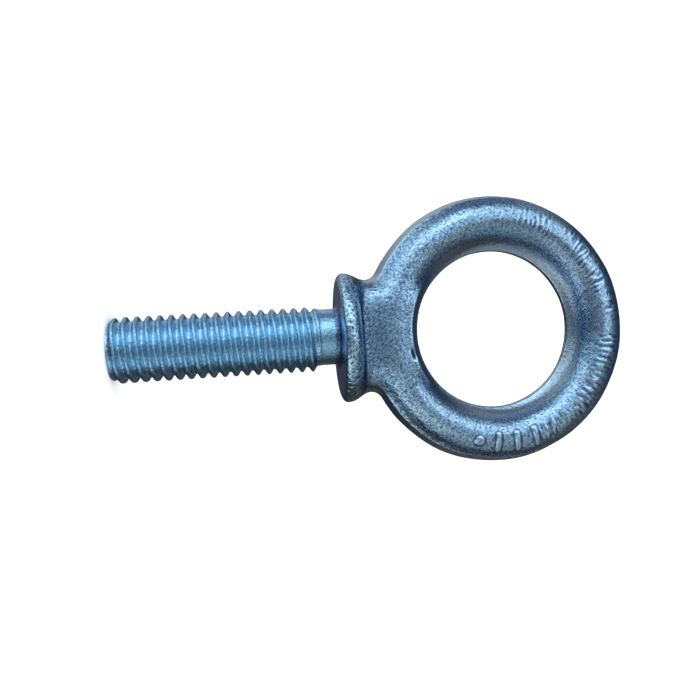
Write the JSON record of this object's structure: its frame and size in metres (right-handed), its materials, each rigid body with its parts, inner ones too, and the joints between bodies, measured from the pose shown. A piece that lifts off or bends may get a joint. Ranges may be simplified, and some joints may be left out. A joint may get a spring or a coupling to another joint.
{
  "type": "eye bolt",
  "caption": "Forged shoulder eye bolt: a round lifting eye on a web, a round collar with a flat seat, and a straight threaded shank with a chamfered tip.",
  "frame": {"origin": "centre of the flat seat under the collar, on the axis of the thread", "axes": "+Z along the thread axis towards the eye, X across the eye in its own plane, Y along the axis of the eye's hole; the face that points along -Y is the marked face"},
  "size_m": [0.0398, 0.019, 0.0754],
  "materials": {
    "forged_zinc": "blue-white zinc plate over as-forged steel, grainy and half glossy",
    "rolled_zinc": "blue-white zinc plate over a rolled thread, smooth and glossy"
  },
  "bodies": {
    "root": {"eye": "forged_zinc", "shoulder": "forged_zinc", "threaded_shank": "rolled_zinc"}
  },
  "joints": []
}
